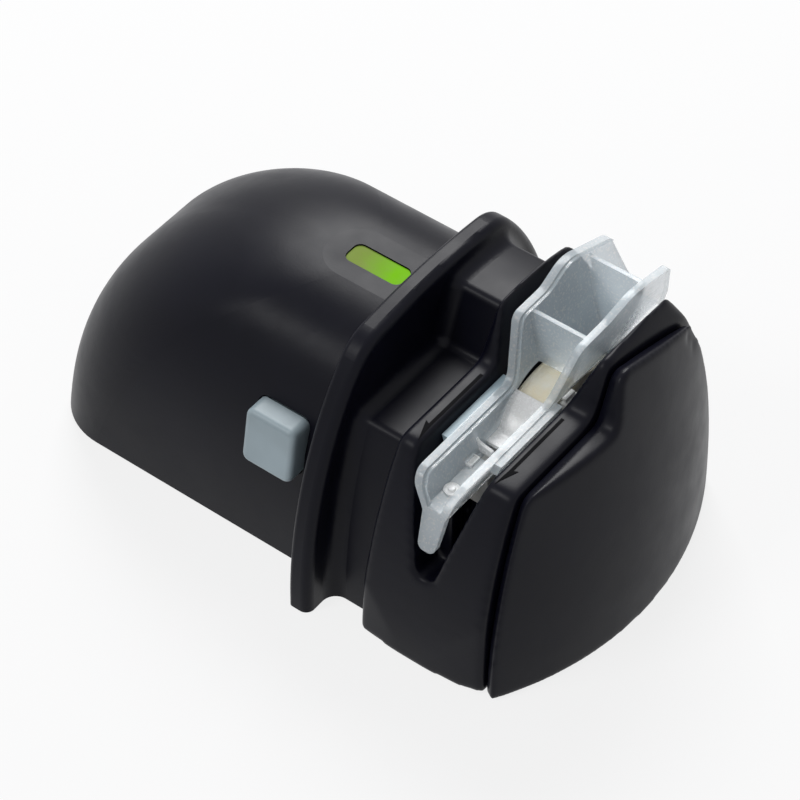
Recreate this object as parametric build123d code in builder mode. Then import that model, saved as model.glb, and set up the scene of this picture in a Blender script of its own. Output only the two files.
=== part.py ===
from build123d import *
import os
from math import acos, atan2, cos, degrees, pi, radians, sin, sqrt, tan

os.makedirs("parts", exist_ok=True)

# Battery powered knife sharpener, millimetres. X runs along the body towards the
# sharpening head, Y along the knife slots, Z up from the soles of the feet.

# Lengths along X, from the rear end to the tip of the front cover
body_length = 89.6
flange_thickness = 6.0
neck_length = 11.9
block_length = 35.9
groove_width = 2.0
cover_length = 13.9

# Heights above the ground
skirt_z = 1.0            # lower edge of the rear body
head_skirt_z = 0.2       # lower edge of the flange, neck and head
plate_thickness = 2.4
body_top = 68.2
flange_top = 75.2
step_top = 61.0          # low half of the head, where the knife is put in
head_top = 76.0          # high half of the head

# Half widths at the skirt and the rise of the ellipse that each side follows
body_half = 40.0
flange_half = 51.2
flange_rise = 84.6
head_half = 47.5
head_rise = 90.0
neck_inset = 6.0
wall = 2.4

# Shape of the rear body
shoulder_length = 74.0   # from the rear end to where the roof is highest
side_power = 2.9         # fullness of the cross section
rear_power = 2.42        # fullness of the long section
corner_low = 0.47        # plan corner as a share of the half width, at the skirt
corner_high = 0.97       # and at the roof
roof_steps = 10
roof_angle = 84.0        # how far the sections climb round the dome, degrees

# Head details
step_low_y = -5.0
step_high_y = 1.0
rim_corner = 4.0
high_crown = (8.0, head_top, 72.0)     # middle, top and radius of the high half's crown
rim_crown = (-72.0, 83.2, 300.0)       # the same at the front rim, where the crown falls away
rim_fall = 3.6                         # length over which it falls
head_rear_half = 46.3
head_front_half = 45.5
cover_half = 45.7
parting_tilt = 3.1
cover_lean = 12.6
lean_power = 1.65
cover_fullness = 1.02    # width of the cover's bow against its rim
flange_crown = 186.0
flange_corner = 12.0

# Knife groove and grinding wheel
groove_offset = 17.7     # from the parting plane at the skirt to the groove's middle
groove_half = 9.35       # half width level with step_top
groove_slope = 0.2175    # widening per millimetre of height
front_half = 10.5        # the same two for the wall in front of the wheel
front_slope = 0.357
groove_floor_z = 29.0
trough_wall = 2.0
wheel_radius = 25.0
wheel_thickness = 10.0
wheel_y = 6.0
wheel_z = 31.0
wheel_gap = 0.9
chamber_gap = 0.8
chamber_wall = 1.8

# Blade guide
guide_half = 6.6         # half width level with the low rim
guide_slope = 0.2175     # widening above the rim
guide_foot_slope = 0.33  # and below it
guide_wall = 1.2
bead_width = 2.0         # thick rim along the upper edge of the walls
bead_depth = 1.5
guide_floor_z = 48.0
guide_floor = 1.8
guide_near_y = -41.0
guide_rim_z = 58.3
guide_high_z = 73.4
guide_peak_z = 76.3
guide_end_z = 71.0
guide_step_y = -4.3      # where the rim starts to climb
guide_climb = 5.9
guide_peak_y = 21.5
guide_far_y = 46.4
guide_end_run = 7.6
web_top_z = 71.7
tongue_thickness = 1.6
web_thickness = 1.2
near_web_y = 7.0
far_web_y = 30.0
tongue_half = 3.0
tongue_z = 38.5
tongue_lean = 3.2
pad_thickness = 2.0

# Drive
gear_module = 0.8
pinion_teeth = 12
driven_teeth = 30
gear_width = 5.0
gear_backlash = 0.16
shaft_radius = 2.5
motor_radius = 12.2
motor_length = 31.0
motor_shaft_radius = 1.0
running_fit = 0.05
bracket_thickness = 2.0
bracket_foot = (14.0, 36.0)     # length and width of the motor bracket's foot
bush_radius = 4.5

# Power pack
cell_radius = 7.25
cell_length = 50.5
cell_count = 4
cell_gap = 0.3
spring_space = 5.0
tray_wall = 1.2
door_clearance = 0.3
door_thickness = 1.8
tongue_reach = 1.2       # how far the door's side tongues run under the plate

# Button and window
button_setback = 18.8    # from the front of the flange to the middle of the button
button_width = 14.9
button_height = 15.6
button_z = 39.5
button_proud = 5.0
button_gap = 0.35
button_travel = 2.5
button_tilt = 10.0
window_setback = 18.0
window_length = 16.4
window_width = 6.4
window_recess = 0.4

# Fasteners and feet
screw_radius = 1.4
screw_head_radius = 2.7
screw_head_height = 1.4
cross_slot = (3.4, 0.7, 0.6)    # length, width and depth of each slot in the head
boss_radius = 2.9
boss_top = 15.0
foot_height = 0.6        # set into the plate

# Stations along X
total_length = body_length + flange_thickness + neck_length + block_length + groove_width + cover_length
x_rear = -total_length / 2
x_flange_back = x_rear + body_length
x_flange = x_flange_back + flange_thickness
x_head = x_flange + neck_length
x_block_front = x_head + block_length
x_cover = x_block_front + groove_width
x_front = x_cover + cover_length
x_shoulder = x_rear + shoulder_length
x_wheel = x_head + groove_offset
wide = 2 * flange_half
plate_top = skirt_z + plate_thickness
reach = 1.0              # how far a cutter runs past the face that it opens

# Drive line: the motor lies on the body's middle plane, above the wheel's axis
centre_distance = gear_module * (pinion_teeth + driven_teeth) / 2
motor_z = wheel_z + sqrt(centre_distance**2 - wheel_y**2)
mesh_angle = degrees(atan2(motor_z - wheel_z, -wheel_y))

parting = Plane(
    origin=(x_head, 0, skirt_z),
    x_dir=(0, 1, 0),
    z_dir=(cos(radians(parting_tilt)), 0, -sin(radians(parting_tilt))),
)


def bulge(full, fraction, power):
    """Half size of a superellipse at a fraction of its height."""
    return full * (1 - fraction**power) ** (1 / power)


def arch_half(half, rise, z):
    """Half width of an elliptical arch at height z."""
    return half * sqrt(1 - ((z - skirt_z) / rise) ** 2)


def groove_reach(z):
    """Half width of the knife groove at height z, behind the wheel."""
    return groove_half + (z - step_top) * groove_slope


def dome_plan(level, inset, front):
    """U shaped plan of the rear body at a share of its height, closed by the front plane."""
    half = bulge(body_half - inset, level, side_power)
    rear = x_shoulder - bulge(shoulder_length - inset, level, rear_power)
    corner = half * (corner_low + (corner_high - corner_low) * level)
    Polygon((front, -half), (front, half), (rear, half), (rear, -half), align=None)
    fillet(vertices().group_by(Axis.X)[0], corner)


def dome(inset, front):
    """Rear body as plans that shrink upwards."""
    height = body_top - skirt_z - inset
    plans = []
    for step in range(roof_steps + 1):
        level = sin(radians(roof_angle * step / roof_steps)) ** (2 / side_power)
        with BuildSketch(Plane.XY.offset(skirt_z + level * height)) as plan:
            dome_plan(level, inset, front)
        plans.append(plan.sketch)
    return plans


def flange_outline():
    """Guard flange: an elliptical arch under a gently crowned top."""
    with Locations((0, skirt_z)):
        Ellipse(flange_half, flange_rise)
    with Locations((0, flange_top - flange_crown)):
        Circle(flange_crown, mode=Mode.INTERSECT)
    with Locations((0, head_skirt_z)):
        Rectangle(wide, wide, align=(Align.CENTER, Align.MIN), mode=Mode.INTERSECT)
    fillet(vertices().filter_by_position(Axis.Y, step_top, flange_top), flange_corner)


def head_outline(inset=0.0, floor=head_skirt_z, foot_half=head_half, crown=high_crown):
    """Cross section of the head: an elliptical arch with a low half and a crowned high half."""
    run = step_high_y - step_low_y
    rise = head_top - step_top
    shift = inset * (sqrt(run**2 + rise**2) - run) / rise
    sky = head_top + rise
    crown_y, crown_z, crown_radius = crown
    with Locations((0, skirt_z)):
        Ellipse(foot_half - inset, head_rise - inset)
    with Locations((crown_y, crown_z - inset - crown_radius)):
        Circle(crown_radius, mode=Mode.INTERSECT)
    Polygon(
        (-wide, floor),
        (wide, floor),
        (wide, sky - inset),
        (step_high_y + run + shift, sky - inset),
        (step_low_y + shift, step_top - inset),
        (-wide, step_top - inset),
        align=None,
        mode=Mode.INTERSECT,
    )
    fillet(vertices().filter_by_position(Axis.Y, step_top - inset - 0.01, sky), max(rim_corner - inset, wall))


def groove_profile(grow=0.0):
    """V shaped knife groove in the XZ plane, open at the top and wider in front of the wheel."""
    low = groove_floor_z - grow
    high = head_top + 4
    Polygon(
        (x_wheel - groove_reach(low) - grow, low),
        (x_wheel + groove_reach(low) + grow, low),
        (x_wheel + front_half + grow, step_top),
        (x_wheel + front_half + (high - step_top) * front_slope + grow, high),
        (x_wheel - groove_reach(high) - grow, high),
        align=None,
    )
    fillet(vertices().group_by(Axis.Y)[0], groove_reach(low) - 0.3)


def cover_bulge(inset):
    """Front cover as bows in plan that lean back as they rise."""
    high = head_top - inset
    plans = []
    for level in (0.0, 0.35, 0.7, 1.0):
        z = head_skirt_z + level * (high - head_skirt_z)
        depth = x_front - x_cover - cover_lean * level**lean_power - inset
        half = cover_fullness * arch_half(cover_half, head_rise, z) - inset
        with BuildSketch(Plane.XY.offset(z)) as plan:
            with BuildLine():
                bow = ThreePointArc((x_cover, -half), (x_cover + depth, 0), (x_cover, half))
                Line(bow @ 1, bow @ 0)
            make_face()
        plans.append(plan.sketch)
    return plans


def rod(radius, start, end, y, z, mode=Mode.ADD):
    """Round bar along X between two stations."""
    with Locations((start, y, z)):
        Cylinder(radius, end - start, rotation=(0, 90, 0), align=(Align.CENTER, Align.CENTER, Align.MIN), mode=mode)


def guide_reach(z):
    """Half width of the blade guide at height z."""
    slope = guide_slope if z > guide_rim_z else guide_foot_slope
    return guide_half + (z - guide_rim_z) * slope


def guide_channel(inset, low, high, mode=Mode.ADD):
    """Upright cross section of the blade guide, in the XZ plane, drawn in by an inset."""
    levels = [low, guide_rim_z, high] if low < guide_rim_z else [low, high]
    near = [(x_wheel - guide_reach(z) + inset, z) for z in levels]
    far = [(x_wheel + guide_reach(z) - inset, z) for z in reversed(levels)]
    Polygon(*near, *far, align=None, mode=mode)


def wing_profile(dy=0.0, dz=0.0):
    """Side view of the blade guide's walls, shifted by dy and dz."""
    corners = [
        (guide_near_y, guide_floor_z, 0),
        (guide_far_y, guide_floor_z, 0),
        (guide_far_y - guide_end_run, guide_end_z, 4.0),
        (guide_peak_y, guide_peak_z, 12.0),
        (guide_peak_y - 9.0, guide_high_z, 8.0),
        (guide_step_y + guide_climb, guide_high_z, 3.0),
        (guide_step_y, guide_rim_z, 4.0),
        (guide_near_y, guide_rim_z, 4.0),
    ]
    Polygon(*[(y + dy, z + dz) for y, z, corner in corners], align=None)
    for y, z, corner in corners:
        if corner:
            fillet(vertices().sort_by_distance((y + dy, z + dz, 0))[0], corner)


def gear_points(teeth, phase):
    """Corners of a spur gear with involute flanks; a tooth points at the phase angle."""
    pressure = radians(25)
    pitch = gear_module * teeth / 2
    base = pitch * cos(pressure)
    tip = pitch + 0.9 * gear_module
    root = pitch - 1.2 * gear_module
    half_tooth = pi / (2 * teeth) - gear_backlash / (2 * pitch)
    flank = [root] + [max(base, root) + (tip - max(base, root)) * k / 4 for k in range(5)]

    def half_angle(radius):
        roll = acos(min(1, base / radius))
        return half_tooth + tan(pressure) - pressure - tan(roll) + roll

    points = []
    for tooth in range(teeth):
        middle = radians(phase) + 2 * pi * tooth / teeth
        for side, radii in ((-1, flank), (1, flank[::-1])):
            for radius in radii:
                angle = middle + side * half_angle(radius)
                points.append((radius * cos(angle), radius * sin(angle)))
    return points


def save(piece, name):
    piece.part.label = name
    export_step(piece.part, "parts/" + name + ".step")


# Places of the screws, feet and cells
base_screw_y = body_half - 5.4
base_screw_spots = [(x, side * base_screw_y) for x in (x_rear + 32, x_flange_back - 8) for side in (-1, 1)]
head_screw_y = head_half - 6.2
head_screw_spots = [(x, side * head_screw_y) for x in (x_head + 9, x_block_front - 9) for side in (-1, 1)]

rear_feet_spots = [(x_rear + 20.5, -33.6), (x_rear + 20.5, 33.6)]
front_feet_spots = [(x_head + block_length / 2, -head_half + 10.5), (x_head + block_length / 2, head_half - 10.5)]
bracket_screw_spots = [(x_flange_back - 9, -10), (x_flange_back - 9, 16)]

# Button plane: the thumb button follows the lean of the body's side
x_button = x_flange - button_setback
side_y = -bulge(body_half, (button_z - skirt_z) / (body_top - skirt_z), side_power)
button_face_y = side_y - button_proud
x_window = x_flange - window_setback

# Battery bay, from the rear
tray_half = cell_count * (cell_radius + cell_gap / 2) + cell_gap / 2
bay_rear = x_rear + 11.2
bay_front = bay_rear + cell_length + spring_space + 0.5
cell_z = plate_top + 0.8 + cell_radius
tray_top = cell_z + cell_radius + 0.4
door_half = tray_half - door_clearance
cell_y = [(k - (cell_count - 1) / 2) * (2 * cell_radius + cell_gap) for k in range(cell_count)]

# LED board under the roof
roof_z = skirt_z + sin(radians(roof_angle)) ** (2 / side_power) * (body_top - skirt_z)
board_z = roof_z - wall - 3.8
board_thickness = 1.2
post_spots = [(x_window - 12, 0), (x_window + 7, 0)]

# --- Main housing: rear body, guard flange and neck, open below ---
with BuildPart() as housing_core:
    loft(dome(wall, x_flange_back))
    with BuildSketch(Plane.YZ.offset(x_flange_back - reach)):
        head_outline(neck_inset + wall, skirt_z - reach)
    extrude(amount=x_head - x_flange_back + 2 * neck_length)
    with BuildSketch(Plane.XY.offset(plate_top)):
        with Locations(*base_screw_spots):
            Circle(boss_radius)
        for x, y in base_screw_spots:
            with Locations((x, 1.05 * y)):
                Rectangle(2, 8)
    extrude(amount=boss_top - plate_top, mode=Mode.SUBTRACT)
    with BuildSketch(Plane.XY.offset(board_z + board_thickness)):
        with Locations(*post_spots):
            Circle(2.2)
    extrude(amount=body_top - board_z, mode=Mode.SUBTRACT)

with BuildPart() as main_housing:
    with BuildSketch(Plane.YZ.offset(x_flange_back)):
        flange_outline()
    extrude(amount=flange_thickness)
    rim = edges().filter_by(Plane.YZ).filter_by(lambda edge: edge.center().Z > skirt_z + reach)
    fillet(rim.group_by(Axis.X)[-1], 2.4)
    rim = edges().filter_by(Plane.YZ).filter_by(lambda edge: edge.center().Z > skirt_z + reach)
    fillet(rim.group_by(Axis.X)[0], 1.2)
    with BuildSketch(Plane.YZ.offset(x_flange)):
        head_outline(neck_inset)
    extrude(amount=2 * neck_length)
    foot = edges(Select.LAST).filter_by_position(Axis.X, x_flange - 0.01, x_flange + 0.01)
    fillet(foot.filter_by(lambda edge: edge.center().Z > skirt_z + reach), 4.0)
    with BuildSketch(parting):
        Rectangle(4 * wide, 4 * wide)
    extrude(amount=wide, mode=Mode.SUBTRACT)
    loft(dome(0.0, x_flange_back))
    add(housing_core.part, mode=Mode.SUBTRACT)
    # recess for the plates
    with BuildSketch(Plane.XY.offset(skirt_z - reach)):
        with Locations((bay_rear, 0)):
            Rectangle(body_length, 2 * (tray_half + tongue_reach) + door_clearance, align=(Align.MAX, Align.CENTER))
    extrude(amount=plate_thickness + reach, mode=Mode.SUBTRACT)
    # window slot in the roof
    with BuildSketch(Plane.XY.offset(board_z)):
        with Locations((x_window, 0)):
            RectangleRounded(window_length + 0.2, window_width + 0.2, 2.1)
    extrude(amount=20, mode=Mode.SUBTRACT)
    # button opening in the side
    with BuildSketch(Plane.XZ.offset(body_half / 2)):
        with Locations((x_button, button_z)):
            RectangleRounded(button_width + 2 * button_gap, button_height + 2 * button_gap, 2.6)
    extrude(amount=body_half, mode=Mode.SUBTRACT)
    # pilot holes
    with BuildSketch(Plane.XY.offset(skirt_z)):
        with Locations(*base_screw_spots):
            Circle(screw_radius + 0.02)
    extrude(amount=boss_top - skirt_z - 2, mode=Mode.SUBTRACT)
save(main_housing, "main_housing")

# --- Head block: shell with the knife trough and the wheel chamber, open below ---
chamber_half = wheel_thickness / 2 + chamber_gap
chamber_radius = wheel_radius + wheel_gap
bush_length = 5.0
front_bush_x = x_block_front - wall - bush_length
x_bracket = x_flange_back - bracket_thickness - 0.4
x_gear = x_flange - 0.5
wiper_near_y = guide_near_y + 16.5
wiper_bottom = groove_floor_z + 9
wiper_half = groove_reach(wiper_bottom) - 0.6

with BuildPart() as head_core:
    with BuildSketch(Plane.YZ.offset(x_head)):
        head_outline(wall, skirt_z - reach)
    extrude(amount=block_length - rim_fall)
    with BuildSketch(parting.offset(wall)):
        Rectangle(4 * wide, 4 * wide)
    extrude(amount=-wide, mode=Mode.SUBTRACT)
    with BuildSketch(Plane.XZ):
        groove_profile(trough_wall)
    extrude(amount=wide, both=True, mode=Mode.SUBTRACT)
    with BuildSketch(Plane.XY.offset(plate_top)):
        with Locations((x_wheel, wheel_y)):
            Rectangle(2 * (chamber_half + chamber_wall), 2 * (chamber_radius + chamber_wall))
    extrude(amount=wheel_z + wheel_radius / 2 - plate_top, mode=Mode.SUBTRACT)
    with BuildSketch(Plane.XY.offset(plate_top)):
        with Locations(*head_screw_spots):
            Circle(boss_radius)
        for x, y in head_screw_spots:
            with Locations((x, 1.05 * y)):
                Rectangle(2, 8)
    extrude(amount=boss_top - plate_top, mode=Mode.SUBTRACT)
    rod(bush_radius + 1.6, front_bush_x, x_block_front, wheel_y, wheel_z, Mode.SUBTRACT)

with BuildPart() as head_block:
    with BuildSketch(Plane.YZ.offset(x_head)):
        head_outline()
    extrude(amount=block_length - rim_fall)
    with BuildSketch(Plane.YZ.offset(x_block_front - rim_fall)):
        head_outline()
    with BuildSketch(Plane.YZ.offset(x_block_front)):
        head_outline(crown=rim_crown)
    loft(ruled=True)
    with BuildSketch(parting):
        Rectangle(4 * wide, 4 * wide)
    extrude(amount=-wide, mode=Mode.SUBTRACT)
    with BuildSketch(Plane.XY):
        with BuildLine():
            sides = ThreePointArc((x_head, head_rear_half), (x_head + 12, head_half), (x_block_front, head_front_half))
            Line(sides @ 1, (x_block_front, -head_front_half))
            ThreePointArc((x_block_front, -head_front_half), (x_head + 12, -head_half), (x_head, -head_rear_half))
            Line((x_head, -head_rear_half), sides @ 0)
        make_face()
    extrude(amount=2 * head_top, mode=Mode.INTERSECT)
    upper = edges().filter_by(lambda edge: edge.center().Z > skirt_z + reach)
    fillet(upper.filter_by(lambda edge: abs(parting.to_local_coords(edge.center()).Z) < 0.01), 1.4)
    add(head_core.part, mode=Mode.SUBTRACT)
    with BuildSketch(Plane.XY.offset(skirt_z - reach)):
        with Locations((x_head + block_length / 2, 0)):
            Rectangle(block_length - 2 * wall - 1, 2 * (head_half - wall))
    extrude(amount=plate_thickness + reach, mode=Mode.SUBTRACT)
    with BuildSketch(Plane.XZ):
        groove_profile()
    extrude(amount=wide, both=True, mode=Mode.SUBTRACT)
    rod(chamber_radius, x_wheel - chamber_half, x_wheel + chamber_half, wheel_y, wheel_z, Mode.SUBTRACT)
    with BuildSketch(Plane.XY.offset(skirt_z)):
        with Locations((x_wheel, wheel_y)):
            Rectangle(2 * chamber_half, 2 * chamber_radius)
    extrude(amount=wheel_z - skirt_z, mode=Mode.SUBTRACT)
    # saddles that carry the blade guide
    with BuildSketch(Plane.XY.offset(groove_floor_z - reach)):
        for saddle_y in (guide_near_y + 7, far_web_y + 7):
            with Locations((x_wheel, saddle_y)):
                Rectangle(3.6, 4)
    extrude(amount=guide_floor_z - 0.1 - groove_floor_z + reach)
    # shelf that carries the wiper
    with BuildSketch(Plane.XY.offset(groove_floor_z - reach)):
        with Locations((x_wheel, wiper_near_y + 1.4)):
            Rectangle(3.6, 2.8)
    extrude(amount=wiper_bottom - groove_floor_z + reach)
    # shaft way and seat of the front bush
    rod(shaft_radius + 0.6, x_head - reach, front_bush_x, wheel_y, wheel_z, Mode.SUBTRACT)
    rod(bush_radius, front_bush_x, front_bush_x + bush_length, wheel_y, wheel_z, Mode.SUBTRACT)
    with BuildSketch(Plane.XY.offset(skirt_z)):
        with Locations(*head_screw_spots):
            Circle(screw_radius + 0.02)
    extrude(amount=boss_top - skirt_z - 2, mode=Mode.SUBTRACT)
save(head_block, "head_block")

# --- Front cover: hollow cap with a lip that sets the shadow groove ---
with BuildPart() as cover_core:
    loft(cover_bulge(wall))
    with BuildSketch(Plane.YZ.offset(x_block_front - reach)):
        head_outline(wall, plate_top, cover_half, rim_crown)
    extrude(amount=cover_length + groove_width + reach, mode=Mode.INTERSECT)
    with BuildSketch(Plane.YZ.offset(x_block_front - reach)):
        head_outline(wall, plate_top, cover_half, rim_crown)
    extrude(amount=groove_width + reach + 1)

with BuildPart() as front_cover:
    loft(cover_bulge(0.0))
    with BuildSketch(Plane.YZ.offset(x_cover)):
        head_outline(foot_half=cover_half, crown=rim_crown)
    extrude(amount=cover_length, mode=Mode.INTERSECT)
    with BuildSketch(Plane.YZ.offset(x_block_front)):
        head_outline(wall / 2, foot_half=cover_half, crown=rim_crown)
    extrude(amount=groove_width)
    add(cover_core.part, mode=Mode.SUBTRACT)
save(front_cover, "front_cover")

# --- Blade guide: clear channel that lifts off the knife groove ---
guide_sky = guide_peak_z + 6
arch_radius = chamber_radius + guide_floor - 0.2
with BuildPart() as web_pocket:
    with BuildSketch(Plane.XZ.offset(-far_web_y + web_thickness / 2)):
        guide_channel(guide_wall, guide_floor_z + guide_floor, guide_sky)
    extrude(amount=far_web_y - near_web_y - web_thickness)
    rod(arch_radius, x_wheel - wide, x_wheel + wide, wheel_y, wheel_z, Mode.SUBTRACT)

with BuildPart() as tongue:
    with BuildSketch(Plane.YZ.offset(x_wheel)):
        Polygon(
            (guide_near_y, guide_floor_z + reach),
            (guide_near_y + tongue_thickness, guide_floor_z + reach),
            (guide_near_y + tongue_thickness, guide_floor_z - reach),
            (guide_near_y + tongue_thickness - tongue_lean, tongue_z),
            (guide_near_y - tongue_lean, tongue_z),
            align=None,
        )
    extrude(amount=2 * tongue_half, both=True)
    with BuildSketch(Plane.XZ.offset(-guide_near_y - wheel_radius)):
        Polygon(
            (x_wheel - tongue_half + 0.6, tongue_z),
            (x_wheel + tongue_half - 0.6, tongue_z),
            (x_wheel + guide_reach(guide_floor_z), guide_floor_z + reach),
            (x_wheel - guide_reach(guide_floor_z), guide_floor_z + reach),
            align=None,
        )
        fillet(vertices().group_by(Axis.Y)[0], tongue_half - 1.0)
    extrude(amount=2 * wheel_radius, mode=Mode.INTERSECT)

with BuildPart() as guide_bead:
    with BuildSketch(Plane.XZ.offset(-guide_far_y)):
        guide_channel(0.0, guide_floor_z, guide_sky)
        guide_channel(bead_width, guide_floor_z - reach, guide_sky + reach, Mode.SUBTRACT)
    extrude(amount=guide_far_y - guide_near_y)
    with BuildSketch(Plane.YZ.offset(x_wheel)):
        wing_profile()
    extrude(amount=wide / 4, both=True, mode=Mode.INTERSECT)
    with BuildSketch(Plane.YZ.offset(x_wheel)):
        wing_profile(bead_depth, -bead_depth)
    extrude(amount=wide / 4, both=True, mode=Mode.SUBTRACT)

with BuildPart() as blade_guide:
    with BuildSketch(Plane.XZ.offset(-guide_far_y)):
        guide_channel(0.0, guide_floor_z, guide_sky)
    extrude(amount=guide_far_y - guide_near_y)
    with BuildSketch(Plane.YZ.offset(x_wheel)):
        wing_profile()
    extrude(amount=wide / 4, both=True, mode=Mode.INTERSECT)
    with BuildSketch(Plane.XZ.offset(-near_web_y + web_thickness / 2)):
        guide_channel(guide_wall, guide_floor_z + guide_floor, guide_sky)
    extrude(amount=near_web_y - web_thickness / 2 - guide_near_y + reach, mode=Mode.SUBTRACT)
    add(web_pocket.part, mode=Mode.SUBTRACT)
    with BuildSketch(Plane.XZ.offset(-guide_far_y - reach)):
        guide_channel(guide_wall, guide_floor_z + guide_floor, guide_sky)
    extrude(amount=guide_far_y + reach - far_web_y - web_thickness / 2, mode=Mode.SUBTRACT)
    # the webs stop below the rims
    with BuildSketch(Plane.XZ.offset(-guide_far_y - reach)):
        guide_channel(guide_wall, web_top_z, guide_sky)
    extrude(amount=guide_far_y - guide_near_y, mode=Mode.SUBTRACT)
    # room for the wheel, wider below so that the blade meets its edges
    rod(chamber_radius, x_wheel - chamber_half, x_wheel + chamber_half, wheel_y, wheel_z, Mode.SUBTRACT)
    rod(wheel_radius - 2, x_wheel - wide, x_wheel + wide, wheel_y, wheel_z, Mode.SUBTRACT)
    with BuildSketch(Plane.XY.offset(guide_floor_z - reach)):
        with Locations((x_wheel, wiper_near_y + 3)):
            Rectangle(2 * guide_reach(guide_floor_z) - 2 * guide_wall, 10, align=(Align.CENTER, Align.MIN))
    extrude(amount=guide_floor + 2 * reach, mode=Mode.SUBTRACT)
    add(guide_bead.part)
    # tongue that drops into the near end of the groove
    add(tongue.part)
save(blade_guide, "blade_guide")

pad_low = guide_rim_z - 4.0
pad_high = guide_rim_z - 0.4
for side, name in ((-1, "guide_pad_rear"), (1, "guide_pad_front")):
    with BuildPart() as guide_pad:
        with BuildSketch(Plane.XZ.offset(-step_low_y - 2)):
            Polygon(
                (x_wheel + side * guide_reach(pad_low), pad_low),
                (x_wheel + side * (guide_reach(pad_low) + pad_thickness), pad_low),
                (x_wheel + side * (guide_reach(pad_high) + pad_thickness), pad_high),
                (x_wheel + side * guide_reach(pad_high), pad_high),
                align=None,
            )
        extrude(amount=24)
    save(guide_pad, name)

# --- Plates that close the underside ---
with BuildPart() as base_plate:
    edge_gap = wall + door_clearance
    with BuildSketch(Plane.XY.offset(skirt_z)):
        dome_plan(0, edge_gap, x_head - 0.3)
        with Locations((bay_front, 0)):
            Rectangle(body_length, 2 * tray_half, align=(Align.MAX, Align.CENTER), mode=Mode.SUBTRACT)
    extrude(amount=plate_thickness)
    # grooves for the door's tongues
    with BuildSketch(Plane.XY.offset(skirt_z + 0.6)):
        with Locations((bay_front - 4, 0)):
            Rectangle(body_length, 2 * (tray_half + tongue_reach), align=(Align.MAX, Align.CENTER))
    extrude(amount=1.1, mode=Mode.SUBTRACT)
    # screws and rear feet
    with BuildSketch(Plane.XY.offset(skirt_z)):
        with Locations(*base_screw_spots):
            Circle(screw_head_radius + 0.2)
    extrude(amount=screw_head_height + 0.15, mode=Mode.SUBTRACT)
    with BuildSketch(Plane.XY.offset(skirt_z)):
        with Locations(*base_screw_spots):
            Circle(screw_radius + 0.1)
        with Locations(*bracket_screw_spots):
            Circle(1.02)
    extrude(amount=plate_thickness, mode=Mode.SUBTRACT)
    with BuildSketch(Plane.XY.offset(skirt_z)):
        with Locations(*rear_feet_spots):
            RectangleRounded(12.2, 4.2, 1.9)
    extrude(amount=foot_height, mode=Mode.SUBTRACT)
save(base_plate, "base_plate")

with BuildPart() as head_base:
    with BuildSketch(Plane.XY.offset(skirt_z)):
        with Locations((x_head + block_length / 2, 0)):
            RectangleRounded(block_length - 2 * wall - 1.6, 2 * (head_half - wall) - 0.6, 2)
    extrude(amount=plate_thickness)
    with BuildSketch(Plane.XY.offset(skirt_z)):
        with Locations(*head_screw_spots):
            Circle(screw_head_radius + 0.2)
    extrude(amount=screw_head_height + 0.15, mode=Mode.SUBTRACT)
    with BuildSketch(Plane.XY.offset(skirt_z)):
        with Locations(*head_screw_spots):
            Circle(screw_radius + 0.1)
    extrude(amount=plate_thickness, mode=Mode.SUBTRACT)
    with BuildSketch(Plane.XY.offset(skirt_z)):
        with Locations(*front_feet_spots):
            Circle(4.6)
    extrude(amount=foot_height, mode=Mode.SUBTRACT)
save(head_base, "head_base")

with BuildPart() as battery_door:
    with BuildSketch(Plane.XY.offset(skirt_z)):
        with Locations((bay_front - door_clearance, 0)):
            Rectangle(body_length, 2 * door_half, align=(Align.MAX, Align.CENTER))
        with BuildSketch(mode=Mode.INTERSECT):
            dome_plan(0, 0.4, x_head)
    extrude(amount=door_thickness)
    with BuildSketch(Plane.XY.offset(skirt_z + 0.8)):
        with Locations((bay_front - 5, 0)):
            Rectangle(cell_length - 2, 2 * (door_half + tongue_reach - 0.2), align=(Align.MAX, Align.CENTER))
    extrude(amount=0.7)
    # finger grip
    with BuildSketch(Plane.XY.offset(skirt_z)):
        for k in range(5):
            with Locations((bay_rear + 4 + 2.4 * k, 0)):
                Rectangle(1.2, 16 + 2 * k)
    extrude(amount=0.5, mode=Mode.SUBTRACT)
save(battery_door, "battery_door")

with BuildPart() as rubber_feet:
    with BuildSketch(Plane.XY):
        with Locations(*rear_feet_spots):
            RectangleRounded(12, 4, 1.8)
        with Locations(*front_feet_spots):
            Circle(4.5)
    extrude(amount=skirt_z + foot_height)
    fillet(edges().group_by(Axis.Z)[0], 0.4)
save(rubber_feet, "rubber_feet")


def screw_set(spots, length):
    """Pan head screws driven up from below, heads level with the plate's underside."""
    slot_length, slot_gauge, slot_depth = cross_slot
    with Locations(*[(x, y, skirt_z + 0.1) for x, y in spots]):
        Cylinder(screw_head_radius, screw_head_height, align=(Align.CENTER, Align.CENTER, Align.MIN))
        Cylinder(screw_radius, length, align=(Align.CENTER, Align.CENTER, Align.MIN))
        Box(slot_length, slot_gauge, slot_depth, align=(Align.CENTER, Align.CENTER, Align.MIN), mode=Mode.SUBTRACT)
        Box(slot_gauge, slot_length, slot_depth, align=(Align.CENTER, Align.CENTER, Align.MIN), mode=Mode.SUBTRACT)


with BuildPart() as base_screws:
    screw_set(base_screw_spots, boss_top - skirt_z - 3)
save(base_screws, "base_screws")

with BuildPart() as head_screws:
    screw_set(head_screw_spots, boss_top - skirt_z - 3)
save(head_screws, "head_screws")

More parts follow.
